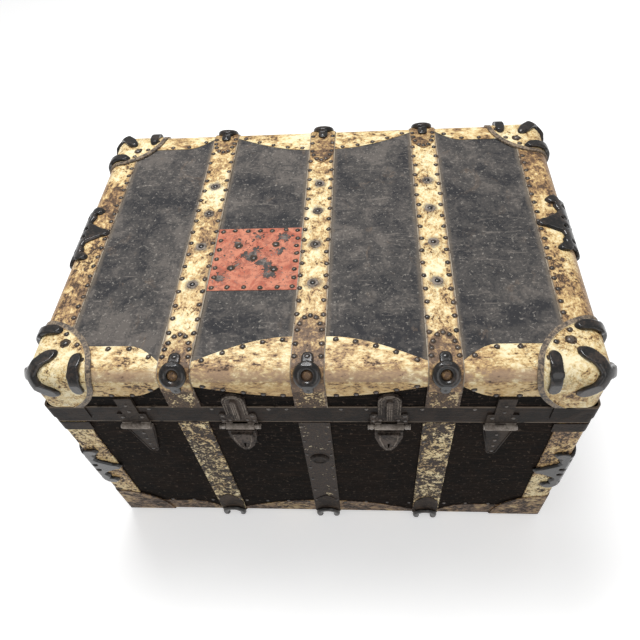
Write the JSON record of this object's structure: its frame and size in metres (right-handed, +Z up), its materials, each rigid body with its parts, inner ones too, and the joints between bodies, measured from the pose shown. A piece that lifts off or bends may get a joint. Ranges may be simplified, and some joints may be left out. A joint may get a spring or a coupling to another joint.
{
  "type": "travelling trunk",
  "caption": "Flat-topped travelling trunk of boards in black sheet with painted tin bindings, iron corner hardware, hinged lid, locks, strap hasps and leather end handles.",
  "frame": {"origin": "on the floor under the middle of the trunk", "axes": "+X to the right along the long side seen from the locks, +Y from the locks to the hinges, +Z up"},
  "size_m": [0.809, 0.5596, 0.4772],
  "materials": {
    "pine_board": "bare, aged",
    "black_sheet": "painted canvas, worn matt",
    "paper_lining": "aged paper",
    "painted_tin": "cream paint, chipped and stained",
    "iron": "dark, rubbed",
    "steel_band": "dark, worn",
    "worn_steel": "rubbed bright",
    "red_paint": "red paint, chipped",
    "clad_slat": "cream painted, worn",
    "grip_leather": "dark, waxed"
  },
  "bodies": {
    "body": {"front_board": "pine_board", "back_board": "pine_board", "left_end_board": "pine_board", "right_end_board": "pine_board", "bottom_board": "pine_board", "body_covering": "black_sheet", "body_lining": "paper_lining", "bottom_binding": "painted_tin", "bottom_corner_caps": "painted_tin", "body_corner_bands": "painted_tin", "corner_scroll_clamps": "iron", "rim_corner_plates": "iron", "front_bands": "clad_slat", "back_bands": "clad_slat", "foot_plates": "steel_band", "foot_clamps": "iron", "bottom_runners": "clad_slat", "front_boss": "iron", "lock_base_plates": "iron", "hinge_body_leaves": "iron", "hinge_pins": "worn_steel", "left_handle_brackets": "iron", "right_handle_brackets": "iron"},
    "lid": {"lid_top_board": "pine_board", "lid_front_rail": "pine_board", "lid_back_rail": "pine_board", "lid_left_rail": "pine_board", "lid_right_rail": "pine_board", "lid_covering": "black_sheet", "lid_lining": "paper_lining", "front_binding": "painted_tin", "back_binding": "painted_tin", "side_bindings": "painted_tin", "corner_covers": "painted_tin", "lid_bands": "clad_slat", "corner_bumpers": "iron", "corner_edge_clamps": "iron", "front_ring_clamps": "iron", "back_ring_clamps": "iron", "side_scroll_clamps": "iron", "hinge_lid_leaves": "iron", "lock_lid_plates": "iron", "strap_lid_leaves": "iron", "lid_band_rivets": "iron", "clamp_rivets": "iron", "clamp_plates": "steel_band", "valance": "steel_band", "valance_corner_wraps": "steel_band", "lock_pins": "worn_steel", "strap_pins": "worn_steel", "repair_patch": "red_paint"},
    "left_handle": {"left_handle": "grip_leather"},
    "right_handle": {"right_handle": "grip_leather"},
    "left_lock_hasp": {"left_lock_hasp": "iron"},
    "right_lock_hasp": {"right_lock_hasp": "iron"},
    "left_strap_hasp": {"left_strap_hasp": "iron"},
    "right_strap_hasp": {"right_strap_hasp": "iron"}
  },
  "joints": [
    {"name": "lid_hinge", "type": "hinge", "parent": "body", "child": "lid", "pos_m": [0, 0.2735, 0.362], "axis": [-1, 0, 0], "range_deg": [0, 105]},
    {"name": "left_lock_hinge", "type": "hinge", "parent": "lid", "child": "left_lock_hasp", "pos_m": [-0.106, -0.2745, 0.3451], "axis": [-1, 0, 0], "range_deg": [0, 150]},
    {"name": "right_lock_hinge", "type": "hinge", "parent": "lid", "child": "right_lock_hasp", "pos_m": [0.106, -0.2745, 0.3451], "axis": [-1, 0, 0], "range_deg": [0, 150]},
    {"name": "left_strap_hinge", "type": "hinge", "parent": "lid", "child": "left_strap_hasp", "pos_m": [-0.259, -0.2745, 0.3451], "axis": [-1, 0, 0], "range_deg": [0, 150]},
    {"name": "right_strap_hinge", "type": "hinge", "parent": "lid", "child": "right_strap_hasp", "pos_m": [0.259, -0.2745, 0.3451], "axis": [-1, 0, 0], "range_deg": [0, 150]},
    {"name": "left_handle_swing", "type": "hinge", "parent": "body", "child": "left_handle", "pos_m": [-0.395, 0, 0.262], "axis": [0, 1, 0], "range_deg": [0, 165]},
    {"name": "right_handle_swing", "type": "hinge", "parent": "body", "child": "right_handle", "pos_m": [0.395, 0, 0.262], "axis": [0, -1, 0], "range_deg": [0, 165]}
  ]
}
